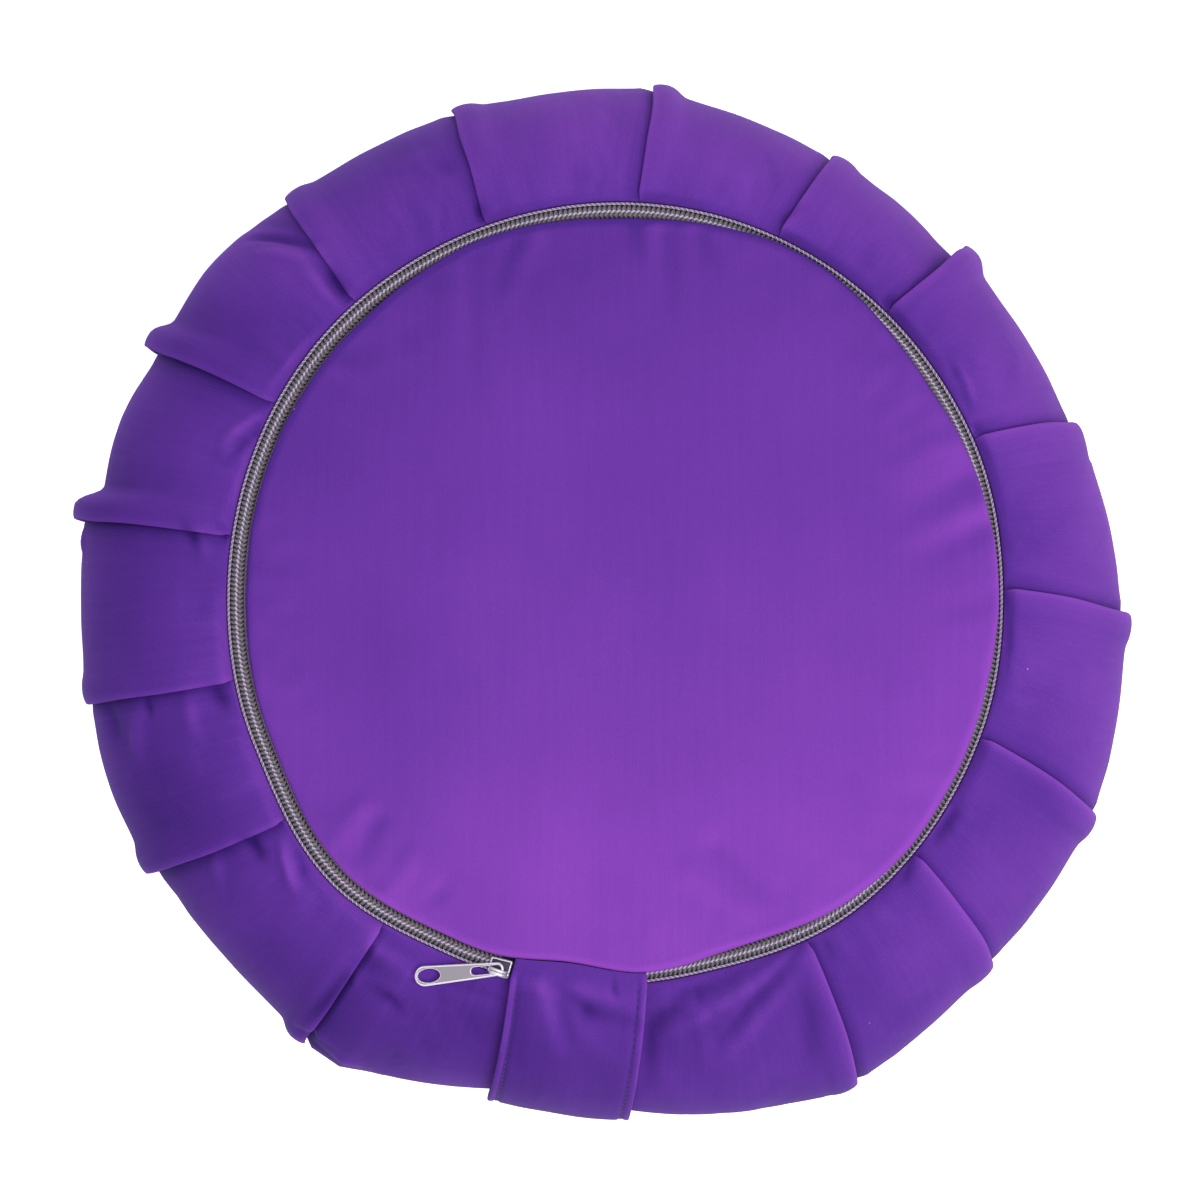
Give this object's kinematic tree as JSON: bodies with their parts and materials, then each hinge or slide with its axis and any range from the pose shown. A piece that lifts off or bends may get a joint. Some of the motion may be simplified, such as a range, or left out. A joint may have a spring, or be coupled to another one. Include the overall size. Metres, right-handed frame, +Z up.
{
  "type": "meditation cushion",
  "caption": "Round pleated floor cushion in purple velvet, lying zip face up, with a coil zip round its seam and a flat strap over its side.",
  "frame": {"origin": "on the surface that the cushion rests on, under the middle of its bulge", "axes": "+Z up, out of the zip face; +X to the right and +Y away from the strap in the pictured view from above"},
  "size_m": [0.3312, 0.3241, 0.1269],
  "materials": {
    "velvet_band": "short pile velvet, purple",
    "velvet_face": "short pile velvet, purple",
    "zip_tape": "woven, matt, grey lilac",
    "zip_coil": "satin grey",
    "nickel": "plated, polished edges"
  },
  "bodies": {
    "root": {"side_band": "velvet_band", "zip_face_panel": "velvet_face", "seat_face_panel": "velvet_face", "handle_strap": "velvet_band", "zip_tape": "zip_tape", "zip_coil": "zip_coil", "zip_slider": "nickel", "zip_pull": "nickel"}
  },
  "joints": []
}
